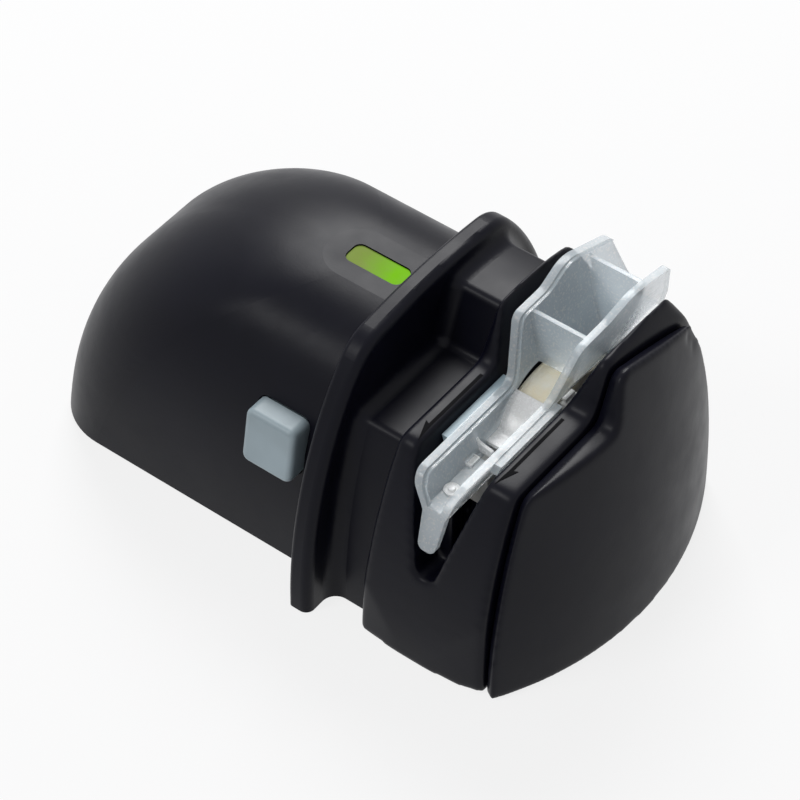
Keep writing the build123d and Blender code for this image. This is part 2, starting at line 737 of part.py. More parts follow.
# --- Power pack ---
with BuildPart() as battery_tray:
    with BuildSketch(Plane.XY.offset(plate_top)):
        with Locations(((bay_rear + bay_front) / 2, 0)):
            Rectangle(bay_front - bay_rear + 2 * tray_wall, 2 * (tray_half + tray_wall))
    extrude(amount=tray_top + tray_wall - plate_top)
    with BuildSketch(Plane.XY.offset(plate_top)):
        with Locations(((bay_rear + bay_front) / 2, 0)):
            Rectangle(bay_front - bay_rear, 2 * tray_half)
    extrude(amount=tray_top - plate_top, mode=Mode.SUBTRACT)
    # low ribs between the cells
    with BuildSketch(Plane.XY.offset(tray_top - 2)):
        for y in [(a + b) / 2 for a, b in zip(cell_y, cell_y[1:])]:
            with Locations(((bay_rear + bay_front) / 2, y)):
                Rectangle(cell_length - 10, 0.8)
    extrude(amount=2.5)
save(battery_tray, "battery_tray")

plate_size = 8.0
plate_gauge = 0.4
with BuildPart() as battery_contacts:
    for k, y in enumerate(cell_y):
        with Locations((bay_rear + plate_gauge / 2, y, cell_z), (bay_front - plate_gauge / 2, y, cell_z)):
            Box(plate_gauge, plate_size, plate_size)
    # bridges that join the cells in series
    for side, pairs in ((bay_rear + plate_gauge / 2, (0, 2)), (bay_front - plate_gauge / 2, (1,))):
        for k in pairs:
            with Locations((side, (cell_y[k] + cell_y[k + 1]) / 2, cell_z)):
                Box(plate_gauge, cell_y[1] - cell_y[0], plate_size / 2)
save(battery_contacts, "battery_contacts")

for k, y in enumerate(cell_y):
    turned = k % 2 == 1
    start = bay_rear + plate_gauge + 0.1 if turned else bay_rear + spring_space
    with BuildPart() as battery_cell:
        rod(cell_radius - 0.05, start + (1 if turned else 0), start + cell_length - (0 if turned else 1), y, cell_z)
        fillet(edges().filter_by(GeomType.CIRCLE), 0.6)
        rod(2.7, start, start + cell_length, y, cell_z)
    save(battery_cell, "battery_cell_" + str(k + 1))

coil_radius = 3.0
coil_wire = 0.35
with BuildPart() as battery_springs:
    for k, y in enumerate(cell_y):
        turned = k % 2 == 1
        start = bay_front - plate_gauge if turned else bay_rear + plate_gauge
        facing = -1 if turned else 1
        with BuildLine() as coil:
            Helix(
                pitch=1.1,
                height=spring_space - plate_gauge - 2 * coil_wire - 0.3,
                radius=coil_radius,
                center=(start + facing * (coil_wire + 0.05), y, cell_z),
                direction=(facing, 0, 0),
            )
        with BuildSketch(Plane(origin=coil.line @ 0, z_dir=coil.line % 0)) as wire:
            Circle(coil_wire)
        sweep(wire.sketch, path=coil.line)
save(battery_springs, "battery_springs")

# --- Indicator ---
with BuildPart() as indicator_window:
    with BuildSketch(Plane.XY.offset(roof_z - wall)):
        with Locations((x_window, 0)):
            RectangleRounded(window_length, window_width, 2)
    extrude(amount=wall - window_recess)
save(indicator_window, "indicator_window")

with BuildPart() as led_board:
    with BuildSketch(Plane.XY.offset(board_z)):
        with Locations(((post_spots[0][0] + post_spots[1][0]) / 2, 0)):
            RectangleRounded(post_spots[1][0] - post_spots[0][0] + 5, 12, 1)
    extrude(amount=board_thickness)
save(led_board, "led_board")

with BuildPart() as led:
    with Locations((x_window + 3, 0, board_z + board_thickness)):
        Cylinder(1.6, 0.5, align=(Align.CENTER, Align.CENTER, Align.MIN))
        Cylinder(1.3, 2.0, align=(Align.CENTER, Align.CENTER, Align.MIN))
    fillet(edges().group_by(Axis.Z)[-1], 0.9)
save(led, "led")

# --- Motor and gears ---
can_gauge = 1.0
motor_rear = x_bracket - motor_length
with BuildPart() as motor_can:
    rod(motor_radius, motor_rear, x_bracket, 0, motor_z)
    rod(motor_radius - can_gauge, motor_rear, x_bracket - can_gauge, 0, motor_z, Mode.SUBTRACT)
    rod(3.0, x_bracket - can_gauge, x_bracket + 1.5, 0, motor_z)
    rod(motor_shaft_radius + running_fit, x_bracket - can_gauge, x_bracket + 1.5, 0, motor_z, Mode.SUBTRACT)
    for y in (-8, 8):
        rod(1.02, x_bracket - can_gauge, x_bracket, y, motor_z, Mode.SUBTRACT)
save(motor_can, "motor_can")

with BuildPart() as motor_end_cap:
    rod(motor_radius - can_gauge - 0.02, motor_rear, motor_rear + 2.5, 0, motor_z)
    rod(3.5, motor_rear - 1.5, motor_rear, 0, motor_z)
    rod(motor_shaft_radius + running_fit, motor_rear - 1.5, motor_rear + 2.5, 0, motor_z, Mode.SUBTRACT)
    with Locations((motor_rear - 2, -7, motor_z), (motor_rear - 2, 7, motor_z)):
        Box(4, 0.5, 2.4)
save(motor_end_cap, "motor_end_cap")

magnet_rear = motor_rear + 5
magnet_front = x_bracket - 4
with BuildPart() as motor_magnets:
    rod(motor_radius - can_gauge - 0.02, magnet_rear, magnet_front, 0, motor_z)
    rod(motor_radius - can_gauge - 2.2, magnet_rear, magnet_front, 0, motor_z, Mode.SUBTRACT)
    with Locations(((magnet_rear + magnet_front) / 2, 0, motor_z)):
        Box(motor_length, 9, 3 * motor_radius, mode=Mode.SUBTRACT)
save(motor_magnets, "motor_magnets")

with BuildPart() as armature:
    rod(motor_radius - can_gauge - 2.6, magnet_rear + 1, magnet_front - 1, 0, motor_z)
    for angle in (90, 210, 330):
        with Locations((magnet_rear, 6.2 * cos(radians(angle)), motor_z + 6.2 * sin(radians(angle)))):
            Box(2 * motor_length, 2.6, 6, rotation=(angle - 90, 0, 0), mode=Mode.SUBTRACT)
    rod(2.4, magnet_rear - 2, magnet_rear + 1, 0, motor_z)
    rod(motor_shaft_radius + 0.02, magnet_rear - 3, magnet_front, 0, motor_z, Mode.SUBTRACT)
save(armature, "armature")

with BuildPart() as motor_shaft:
    rod(motor_shaft_radius, motor_rear - 2, x_gear + gear_width + 1, 0, motor_z)
    fillet(edges().filter_by(GeomType.CIRCLE), 0.2)
save(motor_shaft, "motor_shaft")

with BuildPart() as pinion_gear:
    with BuildSketch(Plane.YZ.offset(x_gear)):
        with Locations((0, motor_z)):
            Polygon(*gear_points(pinion_teeth, mesh_angle + 180 + 180 / pinion_teeth), align=None)
            Circle(motor_shaft_radius + 0.02, mode=Mode.SUBTRACT)
    extrude(amount=gear_width)
save(pinion_gear, "pinion_gear")

with BuildPart() as driven_gear:
    with BuildSketch(Plane.YZ.offset(x_gear)):
        with Locations((wheel_y, wheel_z)):
            Polygon(*gear_points(driven_teeth, mesh_angle), align=None)
    extrude(amount=gear_width)
    rod(2 * shaft_radius, x_gear, x_gear + gear_width + 2.5, wheel_y, wheel_z)
    rod(shaft_radius + 0.02, x_gear, x_gear + gear_width + 2.5, wheel_y, wheel_z, Mode.SUBTRACT)
save(driven_gear, "driven_gear")

with BuildPart() as motor_bracket:
    with BuildSketch(Plane.YZ.offset(x_bracket)):
        Polygon(
            (-15, plate_top),
            (21, plate_top),
            (21, wheel_z + 4),
            (14, motor_z + 13),
            (-14, motor_z + 13),
            (-15, wheel_z),
            align=None,
        )
        fillet(vertices().filter_by_position(Axis.Y, wheel_z - 1, motor_z + 14), 3)
        with Locations((0, motor_z)):
            Circle(3.1, mode=Mode.SUBTRACT)
        with Locations((wheel_y, wheel_z)):
            Circle(bush_radius, mode=Mode.SUBTRACT)
        with Locations((-8, motor_z), (8, motor_z)):
            Circle(1.1, mode=Mode.SUBTRACT)
    extrude(amount=bracket_thickness)
    with BuildSketch(Plane.XY.offset(plate_top)):
        with Locations((x_bracket + bracket_thickness, 3)):
            Rectangle(*bracket_foot, align=(Align.MAX, Align.CENTER))
        with Locations(*bracket_screw_spots):
            Circle(1.1, mode=Mode.SUBTRACT)
    extrude(amount=2)
save(motor_bracket, "motor_bracket")

with BuildPart() as motor_screws:
    for y in (-8, 8):
        rod(1.9, x_bracket + bracket_thickness, x_bracket + bracket_thickness + 1.2, y, motor_z)
        rod(1.0, x_bracket - can_gauge, x_bracket + bracket_thickness, y, motor_z)
save(motor_screws, "motor_screws")

with BuildPart() as bracket_screws:
    with Locations(*[(x, y, plate_top + 2) for x, y in bracket_screw_spots]):
        Cylinder(2.0, 1.3, align=(Align.CENTER, Align.CENTER, Align.MIN))
        Cylinder(1.0, 4, align=(Align.CENTER, Align.CENTER, Align.MAX))
save(bracket_screws, "bracket_screws")

# --- Grinding wheel on its shaft ---
with BuildPart() as wheel_shaft:
    rod(shaft_radius, x_bracket - 1, front_bush_x + bush_length - 0.3, wheel_y, wheel_z)
    fillet(edges().filter_by(GeomType.CIRCLE), 0.4)
save(wheel_shaft, "wheel_shaft")

with BuildPart() as grinding_wheel:
    rod(wheel_radius, x_wheel - wheel_thickness / 2, x_wheel + wheel_thickness / 2, wheel_y, wheel_z)
    chamfer(edges().filter_by(GeomType.CIRCLE), 1.0)
    rod(shaft_radius + 0.02, x_wheel - wheel_thickness, x_wheel + wheel_thickness, wheel_y, wheel_z, Mode.SUBTRACT)
save(grinding_wheel, "grinding_wheel")

with BuildPart() as wheel_washers:
    for face in (-wheel_thickness / 2 - 0.5, wheel_thickness / 2):
        rod(9.0, x_wheel + face, x_wheel + face + 0.5, wheel_y, wheel_z)
        rod(shaft_radius + 0.02, x_wheel + face, x_wheel + face + 0.5, wheel_y, wheel_z, Mode.SUBTRACT)
save(wheel_washers, "wheel_washers")

with BuildPart() as shaft_bush_rear:
    rod(bush_radius - 0.02, x_bracket, x_bracket + bush_length, wheel_y, wheel_z)
    rod(bush_radius + 1.2, x_bracket + bracket_thickness, x_bracket + bracket_thickness + 1, wheel_y, wheel_z)
    rod(shaft_radius + running_fit, x_bracket, x_bracket + bush_length, wheel_y, wheel_z, Mode.SUBTRACT)
save(shaft_bush_rear, "shaft_bush_rear")

with BuildPart() as shaft_bush_front:
    rod(bush_radius - 0.02, front_bush_x, front_bush_x + bush_length, wheel_y, wheel_z)
    rod(shaft_radius + running_fit, front_bush_x, front_bush_x + bush_length, wheel_y, wheel_z, Mode.SUBTRACT)
save(shaft_bush_front, "shaft_bush_front")

# --- Felt wiper beside the wheel's near edge, on its shelf in the trough ---
with BuildPart() as felt_wiper:
    with BuildSketch(Plane.XZ.offset(-wiper_near_y)):
        Polygon(
            (x_wheel - wiper_half, wiper_bottom),
            (x_wheel + wiper_half, wiper_bottom),
            (x_wheel + guide_reach(guide_floor_z) - 0.2, guide_floor_z - 0.4),
            (x_wheel - guide_reach(guide_floor_z) + 0.2, guide_floor_z - 0.4),
            align=None,
        )
    extrude(amount=wiper_near_y - wheel_y)
    rod(wheel_radius + 0.4, x_wheel - wheel_thickness, x_wheel + wheel_thickness, wheel_y, wheel_z, Mode.SUBTRACT)
    split(bisect_by=Plane.XZ.offset(-wheel_y + wheel_radius / 2), keep=Keep.TOP)
save(felt_wiper, "felt_wiper")

# --- Felt bed under the wheel, which catches the grit ---
with BuildPart() as grit_felt:
    with Locations((x_wheel, wheel_y, plate_top)):
        Box(2 * chamber_half - 0.6, 26, 8, align=(Align.CENTER, Align.CENTER, Align.MIN))
    rod(wheel_radius + 0.4, x_wheel - wheel_thickness, x_wheel + wheel_thickness, wheel_y, wheel_z, Mode.SUBTRACT)
save(grit_felt, "grit_felt")

# --- Thumb button and its switch ---
face_plane = Plane(
    origin=(x_button, button_face_y, button_z),
    x_dir=(1, 0, 0),
    z_dir=(0, -cos(radians(button_tilt)), sin(radians(button_tilt))),
)
stem_end = side_y + 11.0
y_switch = stem_end + button_travel + 0.4
switch_depth = 7.0
with BuildPart() as power_button:
    with BuildSketch(Plane.XZ.offset(-side_y - wall)):
        with Locations((x_button, button_z)):
            RectangleRounded(button_width, button_height, 2.6 - button_gap)
    extrude(amount=button_proud + 3 * wall)
    with BuildSketch(face_plane):
        Rectangle(4 * button_width, 4 * button_height)
    extrude(amount=4 * wall, mode=Mode.SUBTRACT)
    with BuildSketch(face_plane.offset(-button_proud - wall - 2.4)):
        Rectangle(4 * button_width, 4 * button_height)
    extrude(amount=-4 * wall, mode=Mode.SUBTRACT)
    fillet(faces().filter_by(lambda face: face.normal_at().dot(face_plane.z_dir) > 0.99).edges(), 1.6)
    with BuildSketch(face_plane.offset(-button_proud - wall - 1.2)):
        RectangleRounded(button_width + 2.4, button_height + 2.4, 3)
    extrude(amount=-1.2)
    with Locations((x_button, stem_end, button_z)):
        Cylinder(2.0, 8, rotation=(90, 0, 0), align=(Align.CENTER, Align.CENTER, Align.MIN))
save(power_button, "power_button")

with BuildPart() as switch_plunger:
    with Locations((x_button, stem_end + 0.05, button_z)):
        Cylinder(0.9, 3.6, rotation=(-90, 0, 0), align=(Align.CENTER, Align.CENTER, Align.MIN))
save(switch_plunger, "switch_plunger")

with BuildPart() as switch_body:
    with Locations((x_button, y_switch + switch_depth / 2, button_z)):
        Box(12.8, switch_depth, 6.4)
    fillet(edges().filter_by(Axis.Y), 0.6)
    with Locations((x_button, y_switch, button_z)):
        Cylinder(0.95, 5.6, rotation=(-90, 0, 0), align=(Align.CENTER, Align.CENTER, Align.MIN), mode=Mode.SUBTRACT)
save(switch_body, "switch_body")

with BuildPart() as switch_bracket:
    bracket_y = y_switch + switch_depth
    bracket_x = bay_front + tray_wall + 0.5
    with Locations((bracket_x, bracket_y, plate_top)):
        Box(5.4, 2, button_z + 5 - plate_top, align=(Align.MIN, Align.MIN, Align.MIN))
        Box(5.4, 12, 2, align=(Align.MIN, Align.MAX, Align.MIN))
    with Locations((bracket_x, bracket_y, button_z + 5)):
        Box(x_button + 5 - bracket_x, 2, 12, align=(Align.MIN, Align.MIN, Align.MAX))
    fillet(edges().filter_by(Axis.Y).group_by(Axis.Z)[-1], 2)
save(switch_bracket, "switch_bracket")

with BuildPart() as button_spring:
    with BuildLine() as coil:
        Helix(
            pitch=0.9,
            height=y_switch - side_y - 6.6 - 0.8,
            radius=2.8,
            center=(x_button, side_y + 7.0, button_z),
            direction=(0, 1, 0),
        )
    with BuildSketch(Plane(origin=coil.line @ 0, z_dir=coil.line % 0)) as wire:
        Circle(0.25)
    sweep(wire.sketch, path=coil.line)
save(button_spring, "button_spring")
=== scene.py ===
from math import cos, radians, sin

import bmesh
import bpy
from bpy.props import FloatProperty, FloatVectorProperty, PointerProperty
from mathutils import Matrix, Vector


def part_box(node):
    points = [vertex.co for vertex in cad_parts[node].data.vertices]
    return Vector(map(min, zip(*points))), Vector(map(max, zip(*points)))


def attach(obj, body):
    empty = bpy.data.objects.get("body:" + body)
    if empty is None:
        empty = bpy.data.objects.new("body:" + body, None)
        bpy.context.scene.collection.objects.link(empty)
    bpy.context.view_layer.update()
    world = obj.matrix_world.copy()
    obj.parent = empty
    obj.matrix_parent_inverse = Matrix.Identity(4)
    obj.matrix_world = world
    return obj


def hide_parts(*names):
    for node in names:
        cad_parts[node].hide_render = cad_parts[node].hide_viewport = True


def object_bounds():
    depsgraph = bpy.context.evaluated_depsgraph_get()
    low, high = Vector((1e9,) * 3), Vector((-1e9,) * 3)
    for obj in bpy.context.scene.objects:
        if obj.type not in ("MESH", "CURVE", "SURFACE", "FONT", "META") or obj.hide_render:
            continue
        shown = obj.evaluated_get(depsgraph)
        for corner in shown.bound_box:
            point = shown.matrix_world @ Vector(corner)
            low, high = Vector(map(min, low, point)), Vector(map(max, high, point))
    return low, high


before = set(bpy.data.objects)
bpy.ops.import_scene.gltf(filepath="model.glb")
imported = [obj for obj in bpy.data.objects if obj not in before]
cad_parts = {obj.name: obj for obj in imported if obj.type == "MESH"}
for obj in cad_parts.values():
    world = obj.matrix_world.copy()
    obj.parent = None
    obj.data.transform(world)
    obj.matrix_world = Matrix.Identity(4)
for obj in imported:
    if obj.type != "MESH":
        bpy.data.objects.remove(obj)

bl_info = {
    "name": "Knife Sharpener",
    "version": (1, 0, 0),
    "blender": (4, 5, 0),
    "location": "3D Viewport > Sidebar > Sharpener",
    "description": "Dresses the packed knife sharpener with its finishes, small pieces and studio",
    "category": "Object",
}

MM = 0.001
CAD_BOX = [list(corner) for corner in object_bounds()]

# Places taken from the frame: X runs along the body to the head, Y along the grooves, Z up.
WHEEL_LOW, WHEEL_HIGH = (Vector(corner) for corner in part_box("grinding_wheel"))
WHEEL_CENTRE = (WHEEL_LOW + WHEEL_HIGH) / 2
HEAD_LOW, HEAD_HIGH = (Vector(corner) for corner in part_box("head_block"))
GUIDE_LOW = Vector(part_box("blade_guide")[0])
WINDOW_LOW, WINDOW_HIGH = (Vector(corner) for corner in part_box("indicator_window"))

# Top of the guide's floor. Faces above LIT_RIM_FROM get a painted highlight as bright rims,
# unless they are a wall's sides or a web's faces larger than BROAD_FACE.
GUIDE_FLOOR = GUIDE_LOW.z + 11.3 * MM
LIT_RIM_FROM = GUIDE_LOW.z + 18 * MM
BROAD_FACE = 20 * MM * MM

# The two arrows, from the wheel's middle, and the place of their tails along the groove.
REAR_ARROW = -10.7 * MM
FRONT_ARROW = 12.4 * MM
ARROW_TAIL = -8.6 * MM

# Cell sizes of the rebuilt shells. EASING_PASSES takes the steps off every edge. The head is
# rounded over ROUNDED_DEPTH at its front, in full once past ROUNDING_RAMP, and the whole cover
# by COVER_SHARE of that.
HEAD_CELL = 0.75 * MM
COVER_CELL = 0.52 * MM
COVER_SHARE = 0.8
ROUNDED_DEPTH = 5 * MM
ROUNDING_RAMP = 3 * MM
EASING_PASSES = 7

# How much thicker the cover's wall is made inwards, and the rear rim that is left as it is.
COVER_WALL_GAIN = 1.6 * MM
COVER_RIM_KEPT = 2.4 * MM

# What the camera looks at. The shift is a share of the picture, the sensor is in millimetres.
CAMERA_TARGET = Vector((WHEEL_CENTRE.x - 29.6 * MM, 0.0, 31.0 * MM))
CAMERA_SHIFT = (-0.0467, 0.0061)
SENSOR_WIDTH = 36.0
NEAREST_SEEN = 10 * MM

# Lamps: place and side length in metres, and the fill lamp's share of the overhead power.
OVERHEAD_PLACE, OVERHEAD_SIZE = (-0.52, 0.71, 0.95), 0.6
FILL_PLACE, FILL_SIZE = (-0.45, -0.9, 1.1), 0.4
FILL_SHARE = 0.38
FLOOR_SIZE = 6.0

# Share of pure white that the seen rays find on the floor.
FLOOR_WHITE = 0.82


# ----------------------------------------------------------------- settings


class ShellFinish(bpy.types.PropertyGroup):
    """Finish and rounding of the black moulded shells."""

    black: FloatVectorProperty(
        name="Black",
        description="Colour of the moulded shells",
        subtype="COLOR",
        size=3,
        default=(0.003, 0.0032, 0.0075),
    )
    roughness: FloatProperty(
        name="Roughness",
        description="Sheen of the shells, from polished to dull",
        default=0.34,
        min=0.05,
        max=1.0,
    )
    gloss: FloatProperty(
        name="Gloss", description="Strength of the reflections", default=0.12, min=0.0, max=1.0
    )
    rim_round: FloatProperty(
        name="Rim rounding",
        description="About how far the rims of the head and its cover are rounded",
        subtype="DISTANCE",
        default=0.0017,
        min=0.0,
    )
    grain: FloatProperty(
        name="Grain size",
        description="Pitch of the fine moulded texture",
        subtype="DISTANCE",
        default=0.0006,
        min=0.0001,
    )


class GuideFinish(bpy.types.PropertyGroup):
    """Clear blade guide."""

    tint: FloatVectorProperty(
        name="Tint",
        description="Colour of the clear walls",
        subtype="COLOR",
        size=3,
        default=(0.80, 0.88, 0.93),
    )
    # The whiter rim tint is a painted highlight: the glow of light gathered in the thick rims.
    rim_tint: FloatVectorProperty(
        name="Rim tint",
        description="Colour of the thick rims, which gather light",
        subtype="COLOR",
        size=3,
        default=(0.97, 0.98, 0.96),
    )
    edge_round: FloatProperty(
        name="Edge rounding",
        description="Radius on the edges of the moulding",
        subtype="DISTANCE",
        default=0.0003,
        min=0.0,
    )


class ButtonFinish(bpy.types.PropertyGroup):
    """Grey thumb button."""

    grey: FloatVectorProperty(
        name="Grey",
        description="Colour of the thumb button",
        subtype="COLOR",
        size=3,
        default=(0.34, 0.42, 0.46),
    )


class WindowFinish(bpy.types.PropertyGroup):
    """Green indicator window."""

    lit_green: FloatVectorProperty(
        name="Lit green",
        description="Colour of the window over the lamp",
        subtype="COLOR",
        size=3,
        default=(0.17, 0.47, 0.002),
    )
    dim_green: FloatVectorProperty(
        name="Dim green",
        description="Colour of the window away from the lamp",
        subtype="COLOR",
        size=3,
        default=(0.20, 0.28, 0.05),
    )
    glow: FloatProperty(
        name="Glow",
        description="Strength of the light in the window",
        default=0.12,
        min=0.0,
    )


class ArrowSizes(bpy.types.PropertyGroup):
    """Printed pull arrows beside the slots."""

    length: FloatProperty(
        name="Length", description="From tail to tip", subtype="DISTANCE", default=0.0254, min=0.005
    )
    head: FloatProperty(
        name="Head length",
        description="From the root of the barb to the tip",
        subtype="DISTANCE",
        default=0.0056,
        min=0.001,
    )
    width: FloatProperty(
        name="Bar width", description="Width of the bar", subtype="DISTANCE", default=0.00085, min=0.0003
    )
    barb: FloatProperty(
        name="Barb",
        description="How far the barb stands out",
        subtype="DISTANCE",
        default=0.0011,
        min=0.0003,
    )


class StudioSettings(bpy.types.PropertyGroup):
    """Camera and lamps."""

    azimuth: FloatProperty(
        name="Azimuth",
        description="Camera's turn round the sharpener",
        subtype="ANGLE",
        default=radians(36.2),
    )
    elevation: FloatProperty(
        name="Elevation", description="Camera's height angle", subtype="ANGLE", default=radians(47.0)
    )
    roll: FloatProperty(name="Roll", description="Camera's tilt", subtype="ANGLE", default=radians(1.0))
    distance: FloatProperty(
        name="Distance", description="Camera to target", subtype="DISTANCE", default=0.8, min=0.1
    )
    lens: FloatProperty(
        name="Lens", description="Focal length in millimetres", default=148.68, min=10.0
    )
    overhead: FloatProperty(
        name="Overhead lamp", description="Power of the overhead lamp", subtype="POWER", default=13.5
    )
    fill: FloatProperty(
        name="Fill", description="Brightness of the surroundings", default=0.27, min=0.0
    )


class SharpenerSettings(bpy.types.PropertyGroup):
    """All that a user would change."""

    shell: PointerProperty(type=ShellFinish, name="Shell", description="Black moulded housing")
    guide: PointerProperty(type=GuideFinish, name="Guide", description="Clear blade guide")
    button: PointerProperty(type=ButtonFinish, name="Button", description="Grey thumb button")
    window: PointerProperty(type=WindowFinish, name="Window", description="Green indicator window")
    arrows: PointerProperty(type=ArrowSizes, name="Arrows", description="Printed pull arrows")
    studio: PointerProperty(type=StudioSettings, name="Studio", description="Camera and lamps")


# ---------------------------------------------------------------- materials


class Finish:
    """One node material, built up from patterns on Object coordinates."""

    def __init__(self, name):
        self.material = bpy.data.materials.new(name)
        self.material.use_nodes = True
        self.tree = self.material.node_tree
        self.surface = self.tree.nodes["Principled BSDF"]
        self.place = self.add("ShaderNodeTexCoord").outputs["Object"]

    def add(self, kind, **values):
        node = self.tree.nodes.new(kind)
        for socket, value in values.items():
            node.inputs[socket].default_value = value
        return node

    def link(self, source, target):
        self.tree.links.new(source, target)

    def set(self, **values):
        """Constant values on the surface's own sockets; an underscore stands for a space."""
        for socket, value in values.items():
            self.surface.inputs[socket.replace("_", " ")].default_value = value

    def stretched(self, scale):
        """Object coordinates scaled differently along each axis."""
        mapping = self.add("ShaderNodeMapping")
        mapping.inputs["Scale"].default_value = scale
        self.link(self.place, mapping.inputs["Vector"])
        return mapping.outputs["Vector"]

    def noise(self, size, detail=3.0, roughness=0.55, place=None):
        """Clouded pattern whose blotches are about as large as size, in metres."""
        node = self.add("ShaderNodeTexNoise", Scale=1.0 / size, Detail=detail, Roughness=roughness)
        self.link(place or self.place, node.inputs["Vector"])
        return node.outputs["Fac"]

    def cells(self, size):
        """Pattern of small cells, for grit."""
        node = self.add("ShaderNodeTexVoronoi", Scale=1.0 / size)
        self.link(self.place, node.inputs["Vector"])
        return node.outputs["Distance"]

    def along(self, axis, start, end):
        """Ramp from 0 at start to 1 at end along one axis, in metres."""
        split = self.add("ShaderNodeSeparateXYZ")
        self.link(self.place, split.inputs["Vector"])
        return self.spread(split.outputs[axis], 0.0, 1.0, start, end)

    def spread(self, source, low, high, start=0.3, end=0.7):
        """A pattern's range start..end mapped onto low..high."""
        node = self.add("ShaderNodeMapRange")
        node.inputs["From Min"].default_value = start
        node.inputs["From Max"].default_value = end
        node.inputs["To Min"].default_value = low
        node.inputs["To Max"].default_value = high
        self.link(source, node.inputs["Value"])
        return node.outputs["Result"]

    def mix(self, source, first, second):
        """Colour that goes from first to second with a pattern."""
        node = self.add("ShaderNodeMix")
        node.data_type = "RGBA"
        for socket, colour in ((node.inputs[6], first), (node.inputs[7], second)):
            if isinstance(colour, bpy.types.NodeSocket):
                self.link(colour, socket)
            else:
                socket.default_value = (*colour, 1.0)
        self.link(source, node.inputs[0])
        return node.outputs[2]

    def colour(self, source):
        self.link(source, self.surface.inputs["Base Color"])

    def rough(self, source):
        self.link(source, self.surface.inputs["Roughness"])

    def relief(self, *layers):
        """Bump from (pattern, height in metres) layers, finest last."""
        normal = None
        for pattern, height in layers:
            bump = self.add("ShaderNodeBump", Strength=1.0, Distance=height)
            self.link(pattern, bump.inputs["Height"])
            if normal:
                self.link(normal, bump.inputs["Normal"])
            normal = bump.outputs["Normal"]
        self.link(normal, self.surface.inputs["Normal"])


def shade(colour, factor):
    return tuple(min(1.0, channel * factor) for channel in colour)


def moulded(name, colour, roughness, grain, relief=0.000012):
    """Moulded plastic: spark-eroded grain, faint clouding and uneven sheen."""
    finish = Finish(name)
    clouds = finish.noise(0.022)
    finish.colour(finish.mix(finish.spread(clouds, 0.0, 1.0), shade(colour, 0.88), shade(colour, 1.14)))
    finish.rough(finish.spread(finish.noise(0.009), roughness - 0.035, roughness + 0.045))
    finish.relief((finish.noise(0.012), relief), (finish.noise(grain, detail=2.0), relief))
    return finish


def clear_plastic(name, tint, clearness, roughness):
    """Clear moulded plastic, a little milky, with a faint frosted texture."""
    finish = Finish(name)
    clouds = finish.noise(0.007)
    body = finish.mix(finish.spread(clouds, 0.0, 1.0), shade(tint, 0.93), shade(tint, 1.05))
    speckle = finish.noise(0.0007, detail=1.0)
    finish.colour(finish.mix(finish.spread(speckle, 0.0, 1.0, 0.55, 0.66), body, (1.0, 1.0, 1.0)))
    finish.rough(finish.spread(speckle, roughness * 0.7, roughness * 1.7))
    finish.set(IOR=1.49, Transmission_Weight=clearness)
    finish.relief((finish.noise(0.0022), 0.00002), (finish.noise(0.0004), 0.000008))
    return finish


def brushed(name, colour, roughness, direction=(1.0, 30.0, 30.0)):
    """Drawn or brushed metal with fine lines along one axis."""
    finish = Finish(name)
    lines = finish.noise(0.004, detail=5.0, place=finish.stretched(direction))
    finish.colour(finish.mix(finish.spread(lines, 0.0, 1.0), shade(colour, 0.82), shade(colour, 1.08)))
    finish.rough(finish.spread(lines, roughness - 0.06, roughness + 0.08))
    finish.set(Metallic=1.0)
    finish.relief((lines, 0.000006))
    return finish


# --------------------------------------------------------------- mesh tools


def deselect():
    if bpy.context.mode != "OBJECT":
        bpy.ops.object.mode_set(mode="OBJECT")
    bpy.ops.object.select_all(action="DESELECT")


def only(piece):
    """Makes piece the one selected and active object."""
    deselect()
    piece.select_set(True)
    bpy.context.view_layer.objects.active = piece


def named(name):
    """Names the active object and moves its place and size into its mesh."""
    piece = bpy.context.active_object
    piece.name = name
    piece.data.name = name
    bpy.ops.object.transform_apply(location=True, rotation=True, scale=True)
    return piece


def pick_top(piece):
    """Selects only the faces that look up, in edit mode."""
    mesh = bmesh.from_edit_mesh(piece.data)
    for face in mesh.faces:
        face.select_set(False)
    top = [face for face in mesh.faces if face.normal.z > 0.9]
    for face in top:
        face.select_set(True)
    mesh.select_flush_mode()
    bmesh.update_edit_mesh(piece.data)
    if not top:
        raise RuntimeError(piece.name + ": no top face was found to shape")


def apply_modifiers(piece):
    only(piece)
    for modifier in list(piece.modifiers):
        bpy.ops.object.modifier_apply(modifier=modifier.name)


def round_edges(piece, width, segments=3):
    modifier = piece.modifiers.new("Rounding", "BEVEL")
    modifier.width = width
    modifier.segments = segments
    modifier.limit_method = "ANGLE"
    modifier.angle_limit = radians(30)
    modifier.use_clamp_overlap = True
    apply_modifiers(piece)


def soften(piece, cell, reach, round_from):
    """Rebuilds a moulding in even faces, as large as cell, and eases all its edges a little.

    Ahead of round_from along X the edges are then rounded over about reach.
    """
    even = piece.modifiers.new("Even faces", "REMESH")
    even.mode = "VOXEL"
    even.voxel_size = cell
    apply_modifiers(piece)
    ahead = piece.vertex_groups.new(name="ahead")
    for vert in piece.data.vertices:
        weight = (vert.co.x - round_from) / ROUNDING_RAMP
        ahead.add([vert.index], min(1.0, max(0.0, weight)), "REPLACE")
    rounding_passes = round(4 * (reach / cell) ** 2)
    for label, group, passes in (("Easing", "", EASING_PASSES), ("Rounding", "ahead", rounding_passes)):
        rounding = piece.modifiers.new(label, "SMOOTH")
        rounding.factor = 0.5
        rounding.iterations = passes
        rounding.vertex_group = group
    apply_modifiers(piece)
    piece.vertex_groups.clear()
    smooth(piece, radians(60))


def smooth(piece, angle=radians(35)):
    only(piece)
    bpy.ops.object.shade_smooth_by_angle(angle=angle)


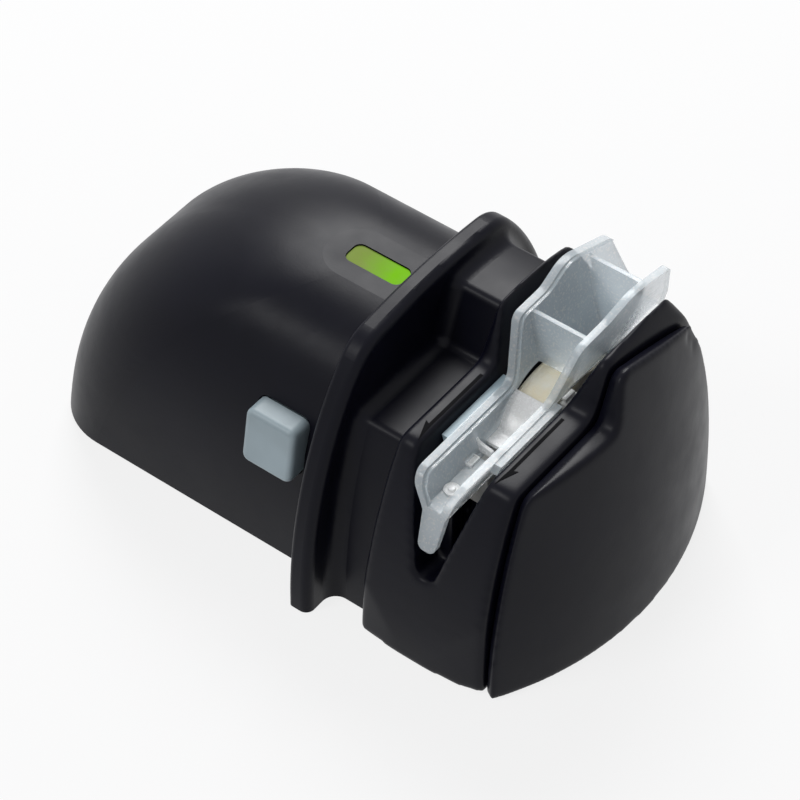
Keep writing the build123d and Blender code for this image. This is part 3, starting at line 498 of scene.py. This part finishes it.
def merged_copy(node, name):
    """A copy of a CAD node whose loose triangles are joined again into clean faces."""
    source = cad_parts[node]
    piece = bpy.data.objects.new(name, source.data.copy())
    piece.data.name = name
    bpy.context.scene.collection.objects.link(piece)
    only(piece)
    bpy.ops.object.mode_set(mode="EDIT")
    bpy.ops.mesh.select_all(action="SELECT")
    bpy.ops.mesh.customdata_custom_splitnormals_clear()
    bpy.ops.mesh.remove_doubles(threshold=0.000002)
    bpy.ops.mesh.dissolve_limited(angle_limit=radians(0.6))
    bpy.ops.mesh.normals_make_consistent(inside=False)
    bpy.ops.object.mode_set(mode="OBJECT")
    return piece


def coat(piece, *finishes):
    piece.data.materials.clear()
    for finish in finishes:
        piece.data.materials.append(finish.material)


def dress(piece, body, slot, *finishes):
    """Finish and body of a new piece. The slot argument is not used."""
    coat(piece, *finishes)
    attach(piece, body)


def dress_nodes(finish, *nodes):
    for node in nodes:
        coat(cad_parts[node], finish)


def settings(context):
    return context.scene.sharpener


class PieceOperator(bpy.types.Operator):
    """Base of the operators that make or dress pieces."""

    bl_options = {"REGISTER", "UNDO"}


# ------------------------------------------------------------------- shells


class SHARPENER_OT_shells(PieceOperator):
    """Dresses the housing, plates, battery door and feet, and rounds the head and its cover"""

    bl_idname = "sharpener.shells"
    bl_label = "Shells"

    def execute(self, context):
        look = settings(context).shell
        black = moulded("black_shell", look.black, look.roughness, look.grain)
        black.set(Specular_IOR_Level=look.gloss)
        dress_nodes(black, "main_housing", "head_block", "front_cover")
        head = merged_copy("head_block", "head_shell")
        soften(head, HEAD_CELL, look.rim_round, HEAD_HIGH.x - ROUNDED_DEPTH)
        cover = merged_copy("front_cover", "cover_shell")
        self.thicken_inwards(cover)
        soften(cover, COVER_CELL, look.rim_round * COVER_SHARE, HEAD_LOW.x)
        for shell, node in ((head, "head_block"), (cover, "front_cover")):
            dress(shell, "housing", "black_shell", black)
            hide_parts(node)
        dull = look.roughness + 0.12
        under = moulded("black_underside", shade(look.black, 1.2), dull, 1.6 * look.grain)
        dress_nodes(under, "base_plate", "head_base", "battery_door")
        dark = (0.028, 0.028, 0.028)
        rubber = moulded("black_rubber", dark, roughness=0.72, grain=0.0005, relief=0.00003)
        dress_nodes(rubber, "rubber_feet")
        return {"FINISHED"}

    def thicken_inwards(self, cover):
        """Moves the cover's hidden inner wall inwards, so that the rounding doesn't wear it through."""
        mesh = bmesh.new()
        mesh.from_mesh(cover.data)
        rear = min(vert.co.x for vert in mesh.verts)
        moves = {}
        for face in mesh.faces:
            middle = face.calc_center_median()
            radial = Vector((0.0, middle.y, middle.z - HEAD_HIGH.z / 2)).normalized()
            outwards = radial + Vector((0.7, 0.0, 0.0))
            faces_in = face.normal.dot(outwards) < -0.2
            if faces_in and middle.x > rear + COVER_RIM_KEPT:
                for vert in face.verts:
                    moves[vert] = moves.get(vert, Vector()) + face.normal
        for vert, way in moves.items():
            if way.length > 0.0:
                vert.co += way.normalized() * COVER_WALL_GAIN
        mesh.to_mesh(cover.data)
        mesh.free()


class SHARPENER_OT_arrows(PieceOperator):
    """Prints the two pull arrows on the low half of the head"""

    bl_idname = "sharpener.arrows"
    bl_label = "Arrows"

    def execute(self, context):
        size = settings(context).arrows
        ink = moulded("arrow_ink", (0.004, 0.004, 0.005), roughness=0.6, grain=0.0004, relief=0.000004)
        ink.set(Specular_IOR_Level=0.03)
        for side, offset, name in ((-1, REAR_ARROW, "arrow_rear"), (1, FRONT_ARROW, "arrow_front")):
            arrow = self.outline(name, WHEEL_CENTRE.x + offset, side, size)
            dress(arrow, "housing", "black_shell", ink)
        return {"FINISHED"}

    def outline(self, name, x, side, size):
        """A bar with a half head, laid on the head's moulding; the barb is on the given side."""
        deselect()
        root = ARROW_TAIL - size.length + size.head
        bpy.ops.mesh.primitive_plane_add(size=1.0, location=(x, (ARROW_TAIL + root) / 2, HEAD_HIGH.z))
        bpy.context.active_object.scale = (size.width, ARROW_TAIL - root, 1.0)
        arrow = named(name)
        bpy.ops.object.mode_set(mode="EDIT")
        mesh = bmesh.from_edit_mesh(arrow.data)
        at_root = [edge for edge in mesh.edges if max(vert.co.y for vert in edge.verts) < root + MM / 10]
        head = bmesh.ops.extrude_edge_only(mesh, edges=at_root)
        for vert in head["geom"]:
            if isinstance(vert, bmesh.types.BMVert):
                if (vert.co.x - x) * side > 0:
                    vert.co.x += side * size.barb
                    vert.co.y += size.width / 2
                else:
                    vert.co.x -= side * size.width / 3
                    vert.co.y = ARROW_TAIL - size.length
        bmesh.update_edit_mesh(arrow.data)
        bpy.ops.mesh.select_all(action="SELECT")
        bpy.ops.mesh.subdivide(number_cuts=14)
        bpy.ops.object.mode_set(mode="OBJECT")
        wrap = arrow.modifiers.new("Lay", "SHRINKWRAP")
        wrap.target = bpy.data.objects["head_shell"]
        wrap.wrap_method = "PROJECT"
        wrap.use_project_z = True
        wrap.use_negative_direction = True
        wrap.use_positive_direction = False
        wrap.offset = 0.03 * MM
        body = arrow.modifiers.new("Ink", "SOLIDIFY")
        body.thickness = 0.06 * MM
        body.offset = 1.0
        apply_modifiers(arrow)
        bpy.ops.object.mode_set(mode="EDIT")
        bpy.ops.mesh.select_all(action="SELECT")
        bpy.ops.mesh.normals_make_consistent(inside=False)
        bpy.ops.object.mode_set(mode="OBJECT")
        return arrow


# -------------------------------------------------------------- blade guide


class SHARPENER_OT_blade_guide(PieceOperator):
    """Makes the clear guide with rounded edges, painted-highlight rims and small forms, and dresses its
    pads
    """

    bl_idname = "sharpener.blade_guide"
    bl_label = "Blade guide"

    def execute(self, context):
        look = settings(context).guide
        wall = clear_plastic("clear_wall", look.tint, clearness=0.2, roughness=0.15)
        wall.set(Alpha=0.5)
        # The rim finish is a lit copy of the wall's, whose whiter tint and opacity paint the rims'
        # highlight.
        rim = clear_plastic("clear_rim_painted_highlight", look.rim_tint, clearness=0.1, roughness=0.2)
        rim.set(Alpha=0.94)
        guide = merged_copy("blade_guide", "guide_shell")
        round_edges(guide, look.edge_round)
        for polygon in guide.data.polygons:
            across = abs(polygon.normal.x) < 0.75
            broad_web = abs(polygon.normal.y) > 0.9 and polygon.area > BROAD_FACE
            high = polygon.center.z > LIT_RIM_FROM
            polygon.material_index = int(across and high and not broad_web)
        smooth(guide)
        dress(guide, "guide", "clear_plastic", wall, rim)
        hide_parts("blade_guide")
        # The small forms take the rim finish with its painted highlight.
        small_pieces = (
            self.boss,
            self.cross_rib,
            self.floor_rim,
            self.bead,
            self.lug,
            self.foot_block,
            self.wheel_guard,
        )
        for make in small_pieces:
            dress(make(), "guide", "clear_plastic", rim)
        pad = moulded("blue_pad", (0.40, 0.52, 0.58), roughness=0.5, grain=0.0007, relief=0.00002)
        dress_nodes(pad, "guide_pad_rear")
        dress_nodes(wall, "guide_pad_front")
        return {"FINISHED"}

    def wheel_guard(self):
        """A thin arch over the near part of the wheel."""
        near, far = -17.0, -3.5
        radius = 25.8
        middle = (near + far) / 2
        guard = floor_slab("guide_wheel_guard", (0.0, middle, 0.5), (8.8, far - near, 1.0), cuts=11)
        for vert in guard.data.vertices:
            above = (vert.co.z - GUIDE_FLOOR) / MM
            arch = WHEEL_CENTRE.z + arc_height((radius + above) * MM, vert.co.y - WHEEL_CENTRE.y)
            vert.co.z = max(vert.co.z, arch)
        round_edges(guard, 0.15 * MM)
        smooth(guard)
        return guard

    def boss(self):
        """A round boss on the floor with a raised rivet in its middle."""
        deselect()
        bpy.ops.mesh.primitive_cylinder_add(
            vertices=40, radius=2.0 * MM, depth=0.6 * MM, location=on_floor(-0.6, -33.4, 0.2)
        )
        boss = named("guide_boss")
        bpy.ops.object.mode_set(mode="EDIT")
        pick_top(boss)
        bpy.ops.mesh.inset(thickness=0.35 * MM)
        bpy.ops.transform.translate(value=(0, 0, -0.2 * MM))
        bpy.ops.mesh.inset(thickness=0.75 * MM)
        bpy.ops.mesh.extrude_region_move(TRANSFORM_OT_translate={"value": (0, 0, 0.55 * MM)})
        bpy.ops.object.mode_set(mode="OBJECT")
        round_edges(boss, 0.12 * MM)
        smooth(boss)
        return boss

    def cross_rib(self):
        """A low rib across the floor, whose top falls steeply from the rear wall and then gently."""
        width, height, middle_height = 5.8, 1.8, 0.7
        slab_top = middle_height + height / 2
        bend = 0.36
        rib = floor_slab("guide_cross_rib", (-2.1, -19.5, middle_height), (width, 0.9, height), cuts=5)
        rear = min(vert.co.x for vert in rib.data.vertices)
        for vert in rib.data.vertices:
            if vert.co.z > GUIDE_FLOOR:
                share = (vert.co.x - rear) / (width * MM)
                steep = 5.0 - 6.6 * share
                gentle = 2.6 - 1.2 * (share - bend)
                top = steep if share < bend else gentle
                vert.co.z = GUIDE_FLOOR + (vert.co.z - GUIDE_FLOOR) * top / slab_top
        round_edges(rib, 0.2 * MM)
        smooth(rib)
        return rib

    def floor_rim(self):
        """A small raised frame on the floor."""
        frame_rim = floor_slab("guide_floor_rim", (-2.2, -23.5, 0.2), (2.0, 3.7, 0.9))
        bpy.ops.object.mode_set(mode="EDIT")
        pick_top(frame_rim)
        bpy.ops.mesh.inset(thickness=0.4 * MM)
        bpy.ops.mesh.extrude_region_move(TRANSFORM_OT_translate={"value": (0, 0, -0.4 * MM)})
        bpy.ops.object.mode_set(mode="OBJECT")
        round_edges(frame_rim, 0.1 * MM)
        smooth(frame_rim)
        return frame_rim

    def bead(self):
        """A round bead along the foot of the front wall."""
        bead = floor_slab("guide_bead", (2.8, -29.8, 0.6), (1.8, 19.9, 1.8), cuts=3)
        round_edges(bead, 0.75 * MM, segments=5)
        smooth(bead, radians(50))
        return bead

    def lug(self):
        """A small lug on the front wall beside the far web."""
        lug = floor_slab("guide_lug", (8.2, 27.6, 22.4), (1.5, 2.2, 3.0))
        round_edges(lug, 0.35 * MM)
        smooth(lug)
        return lug

    def foot_block(self):
        """A stepped block that stiffens the foot of the near web."""
        block = floor_slab("guide_foot_block", (5.4, 3.6, 1.7), (3.4, 5.4, 4.0))
        bpy.ops.object.mode_set(mode="EDIT")
        pick_top(block)
        bpy.ops.mesh.inset(thickness=0.8 * MM)
        bpy.ops.mesh.extrude_region_move(TRANSFORM_OT_translate={"value": (0, 0, 1.2 * MM)})
        bpy.ops.object.mode_set(mode="OBJECT")
        round_edges(block, 0.25 * MM)
        smooth(block)
        return block


def arc_height(radius, along):
    """Height of a circle above its centre at a distance along."""
    return max(0.0, radius * radius - along * along) ** 0.5


def on_floor(across, along, above):
    """A point over the guide's floor, in millimetres across from the wheel's middle, along and up."""
    return (WHEEL_CENTRE.x + across * MM, along * MM, GUIDE_FLOOR + above * MM)


def floor_slab(name, middle, size, cuts=0):
    """A block on the guide's floor, by its middle and size in millimetres, cut into smaller faces."""
    deselect()
    bpy.ops.mesh.primitive_cube_add(size=1.0, location=on_floor(*middle))
    bpy.context.active_object.scale = [length * MM for length in size]
    block = named(name)
    if cuts:
        bpy.ops.object.mode_set(mode="EDIT")
        bpy.ops.mesh.subdivide(number_cuts=cuts)
        bpy.ops.object.mode_set(mode="OBJECT")
    return block


class SHARPENER_OT_grinding_wheel(PieceOperator):
    """Dresses the grinding stone and the felts"""

    bl_idname = "sharpener.grinding_wheel"
    bl_label = "Grinding wheel"

    def execute(self, context):
        stone = Finish("cream_stone")
        grit = stone.cells(0.00045)
        blotch = stone.noise(0.005)
        stone.colour(stone.mix(stone.spread(blotch, 0.0, 1.0), (0.98, 0.88, 0.64), (1.0, 0.96, 0.82)))
        stone.set(Roughness=0.78)
        stone.relief((stone.noise(0.002), 0.00004), (grit, 0.00006))
        dress_nodes(stone, "grinding_wheel")
        felt = Finish("white_felt")
        fibre = felt.noise(0.0012, detail=6.0, place=felt.stretched((1.0, 2.5, 1.0)))
        felt.colour(felt.mix(felt.spread(fibre, 0.0, 1.0), (0.78, 0.77, 0.72), (0.88, 0.87, 0.84)))
        felt.set(Roughness=0.92, Sheen_Weight=0.25)
        felt.relief((fibre, 0.0001))
        dress_nodes(felt, "felt_wiper", "grit_felt")
        return {"FINISHED"}


# --------------------------------------------------------- button and light


class SHARPENER_OT_power_button(PieceOperator):
    """Dresses the thumb button"""

    bl_idname = "sharpener.power_button"
    bl_label = "Power button"

    def execute(self, context):
        colour = settings(context).button.grey
        grey = moulded("grey_button", colour, roughness=0.42, grain=0.0005, relief=0.000008)
        dress_nodes(grey, "power_button")
        return {"FINISHED"}


class SHARPENER_OT_indicator(PieceOperator):
    """Dresses the green window, the lamp under it and the lamp's board"""

    bl_idname = "sharpener.indicator"
    bl_label = "Indicator"

    def execute(self, context):
        look = settings(context).window
        lens = Finish("green_lens")
        # The lens is painted with light: a brighter green and a glow over the lamp, dimmer away from it.
        glow = lens.along("X", WINDOW_LOW.x + 4 * MM, WINDOW_HIGH.x - 3 * MM)
        cloud = lens.spread(lens.noise(0.006), -0.15, 0.15)
        blend = lens.add("ShaderNodeMath")
        blend.operation = "ADD"
        blend.use_clamp = True
        lens.link(glow, blend.inputs[0])
        lens.link(cloud, blend.inputs[1])
        green = lens.mix(blend.outputs[0], tuple(look.dim_green), tuple(look.lit_green))
        lens.colour(green)
        lens.link(green, lens.surface.inputs["Emission Color"])
        strength = lens.spread(blend.outputs[0], 0.3 * look.glow, look.glow, 0.0, 1.0)
        lens.link(strength, lens.surface.inputs["Emission Strength"])
        lens.rough(lens.spread(lens.noise(0.003), 0.42, 0.55))
        lens.set(Specular_IOR_Level=0.04)
        lens.relief((lens.noise(0.0015), 0.00001))
        dress_nodes(lens, "indicator_window")
        lamp = moulded("lamp_lens", (0.5, 0.85, 0.1), roughness=0.15, grain=0.0006, relief=0.000004)
        dress_nodes(lamp, "led")
        board = moulded("circuit_board", (0.02, 0.16, 0.05), roughness=0.4, grain=0.0009, relief=0.00002)
        dress_nodes(board, "led_board")
        return {"FINISHED"}


class SHARPENER_OT_works(PieceOperator):
    """Dresses the motor, gears, cells, screws and other inner pieces"""

    bl_idname = "sharpener.works"
    bl_label = "Works"

    def execute(self, context):
        steel = brushed("bright_steel", (0.58, 0.58, 0.59), roughness=0.3)
        dress_nodes(steel, "base_screws", "head_screws", "bracket_screws", "motor_screws")
        dress_nodes(steel, "wheel_shaft", "motor_shaft", "wheel_washers")
        dress_nodes(steel, "motor_bracket", "switch_bracket")
        zinc = brushed("zinc_plate", (0.5, 0.51, 0.53), roughness=0.38)
        dress_nodes(zinc, "motor_can")
        nickel = brushed("nickel_plate", (0.62, 0.6, 0.55), roughness=0.24)
        dress_nodes(nickel, "battery_contacts", "battery_springs", "button_spring")
        bronze = brushed("bronze", (0.6, 0.42, 0.2), roughness=0.36)
        dress_nodes(bronze, "shaft_bush_rear", "shaft_bush_front", "pinion_gear")
        copper = brushed("copper_winding", (0.66, 0.32, 0.16), roughness=0.34, direction=(30.0, 1.0, 1.0))
        dress_nodes(copper, "armature")
        iron = moulded("magnet_iron", (0.07, 0.07, 0.075), roughness=0.6, grain=0.0008, relief=0.00003)
        dress_nodes(iron, "motor_magnets")
        nylon = moulded("white_nylon", (0.78, 0.78, 0.74), roughness=0.45, grain=0.0008)
        dress_nodes(nylon, "driven_gear", "switch_plunger")
        black = moulded("black_nylon", (0.03, 0.03, 0.032), roughness=0.5, grain=0.0007)
        dress_nodes(black, "battery_tray", "motor_end_cap", "switch_body")
        dress_nodes(self.cell_wrap(), *("battery_cell_" + str(number) for number in range(1, 5)))
        return {"FINISHED"}

    def cell_wrap(self):
        """Plain dark wrap of the cells, copper coloured at the rear end."""
        wrap = Finish("cell_wrap")
        copper_end = CAD_BOX[0][0] + 20 * MM
        band = wrap.along("X", copper_end, copper_end + 1 * MM)
        wrap.colour(wrap.mix(band, (0.62, 0.4, 0.12), (0.02, 0.03, 0.07)))
        wrap.rough(wrap.spread(wrap.noise(0.004), 0.2, 0.32))
        wrap.relief((wrap.noise(0.002), 0.00001))
        return wrap


# ------------------------------------------------------------------- studio


class SHARPENER_OT_studio(PieceOperator):
    """Places the camera, the pale floor and the lamps"""

    bl_idname = "sharpener.studio"
    bl_label = "Studio"

    def execute(self, context):
        look = settings(context).studio
        self.camera(look)
        self.floor()
        self.world(look.fill)
        self.lamp("overhead", OVERHEAD_PLACE, OVERHEAD_SIZE, look.overhead)
        self.lamp("fill", FILL_PLACE, FILL_SIZE, look.overhead * FILL_SHARE)
        context.scene.view_settings.view_transform = "Standard"
        return {"FINISHED"}

    def camera(self, look):
        """Looks at the target from azimuth, elevation and distance, tilted by roll."""
        deselect()
        bpy.ops.object.camera_add()
        camera = bpy.context.active_object
        camera.name = "camera"
        turn, height = look.azimuth, look.elevation
        back = Vector((sin(turn) * cos(height), -cos(turn) * cos(height), sin(height)))
        level = Vector((cos(turn), sin(turn), 0.0))
        right = level * cos(look.roll) + back.cross(level) * sin(look.roll)
        up = back.cross(right)
        facing = Matrix((right, up, back)).transposed().to_4x4()
        camera.matrix_world = Matrix.Translation(CAMERA_TARGET + back * look.distance) @ facing
        camera.data.lens = look.lens
        camera.data.sensor_width = SENSOR_WIDTH
        camera.data.shift_x, camera.data.shift_y = CAMERA_SHIFT
        camera.data.clip_start = NEAREST_SEEN
        bpy.context.scene.camera = camera

    def floor(self):
        """A pale matt floor that the seen rays find mostly white."""
        deselect()
        bpy.ops.mesh.primitive_plane_add(size=FLOOR_SIZE)
        floor = named("floor")
        material = bpy.data.materials.new("pale_floor")
        material.use_nodes = True
        tree = material.node_tree
        tree.nodes.clear()
        output = tree.nodes.new("ShaderNodeOutputMaterial")
        matt = tree.nodes.new("ShaderNodeBsdfDiffuse")
        matt.inputs["Color"].default_value = (0.82, 0.82, 0.83, 1.0)
        white = tree.nodes.new("ShaderNodeEmission")
        white.inputs["Strength"].default_value = 1.0
        share = tree.nodes.new("ShaderNodeMath")
        share.operation = "MULTIPLY"
        share.inputs[1].default_value = FLOOR_WHITE
        blend = tree.nodes.new("ShaderNodeMixShader")
        tree.links.new(self.seen_rays(tree), share.inputs[0])
        tree.links.new(share.outputs[0], blend.inputs["Fac"])
        tree.links.new(matt.outputs[0], blend.inputs[1])
        tree.links.new(white.outputs[0], blend.inputs[2])
        tree.links.new(blend.outputs[0], output.inputs["Surface"])
        floor.data.materials.append(material)

    def seen_rays(self, tree):
        """1 for camera, glossy and transmission rays."""
        path = tree.nodes.new("ShaderNodeLightPath")
        total = path.outputs["Is Camera Ray"]
        for name in ("Is Glossy Ray", "Is Transmission Ray"):
            either = tree.nodes.new("ShaderNodeMath")
            either.operation = "MAXIMUM"
            tree.links.new(total, either.inputs[0])
            tree.links.new(path.outputs[name], either.inputs[1])
            total = either.outputs[0]
        return total

    def world(self, fill):
        """Soft light of strength fill from all round, and pure white for the seen rays."""
        world = bpy.data.worlds.new("surroundings")
        bpy.context.scene.world = world
        world.use_nodes = True
        tree = world.node_tree
        tree.nodes.clear()
        output = tree.nodes.new("ShaderNodeOutputWorld")
        soft = tree.nodes.new("ShaderNodeBackground")
        soft.inputs["Color"].default_value = (0.97, 0.98, 1.0, 1.0)
        soft.inputs["Strength"].default_value = fill
        white = tree.nodes.new("ShaderNodeBackground")
        white.inputs["Color"].default_value = (1.0, 1.0, 1.0, 1.0)
        white.inputs["Strength"].default_value = 1.0
        blend = tree.nodes.new("ShaderNodeMixShader")
        tree.links.new(self.seen_rays(tree), blend.inputs["Fac"])
        tree.links.new(soft.outputs[0], blend.inputs[1])
        tree.links.new(white.outputs[0], blend.inputs[2])
        tree.links.new(blend.outputs[0], output.inputs["Surface"])

    def lamp(self, name, place, size, power):
        """A soft square lamp that faces the sharpener."""
        deselect()
        bpy.ops.object.light_add(type="AREA", location=place)
        lamp = bpy.context.active_object
        lamp.name = name
        lamp.rotation_euler = (CAMERA_TARGET - Vector(place)).to_track_quat("-Z", "Y").to_euler()
        lamp.data.shape = "SQUARE"
        lamp.data.size = size
        lamp.data.energy = power


# ------------------------------------------------------------------ add-on


PIECE_OPERATORS = (
    SHARPENER_OT_studio,
    SHARPENER_OT_shells,
    SHARPENER_OT_arrows,
    SHARPENER_OT_blade_guide,
    SHARPENER_OT_grinding_wheel,
    SHARPENER_OT_power_button,
    SHARPENER_OT_indicator,
    SHARPENER_OT_works,
)


class SHARPENER_PT_panel(bpy.types.Panel):
    """Lists the sharpener's pieces and settings."""

    bl_idname = "SHARPENER_PT_panel"
    bl_label = "Knife sharpener"
    bl_space_type = "VIEW_3D"
    bl_region_type = "UI"
    bl_category = "Sharpener"

    def draw(self, context):
        column = self.layout.column()
        for operator in PIECE_OPERATORS:
            column.operator(operator.bl_idname)
        for group in ("shell", "guide", "button", "window", "arrows", "studio"):
            part = getattr(settings(context), group)
            box = self.layout.box()
            box.label(text=group.capitalize())
            for name in part.__annotations__:
                box.prop(part, name)


SETTING_GROUPS = (
    ShellFinish,
    GuideFinish,
    ButtonFinish,
    WindowFinish,
    ArrowSizes,
    StudioSettings,
    SharpenerSettings,
)


def register():
    for group in SETTING_GROUPS:
        bpy.utils.register_class(group)
    for operator in PIECE_OPERATORS:
        bpy.utils.register_class(operator)
    bpy.utils.register_class(SHARPENER_PT_panel)
    bpy.types.Scene.sharpener = PointerProperty(type=SharpenerSettings)


def unregister():
    del bpy.types.Scene.sharpener
    bpy.utils.unregister_class(SHARPENER_PT_panel)
    for operator in reversed(PIECE_OPERATORS):
        bpy.utils.unregister_class(operator)
    for group in reversed(SETTING_GROUPS):
        bpy.utils.unregister_class(group)


def main():
    register()
    for operator in PIECE_OPERATORS:
        family, name = operator.bl_idname.split(".")
        getattr(getattr(bpy.ops, family), name)()
    deselect()


if __name__ == "__main__":
    main()
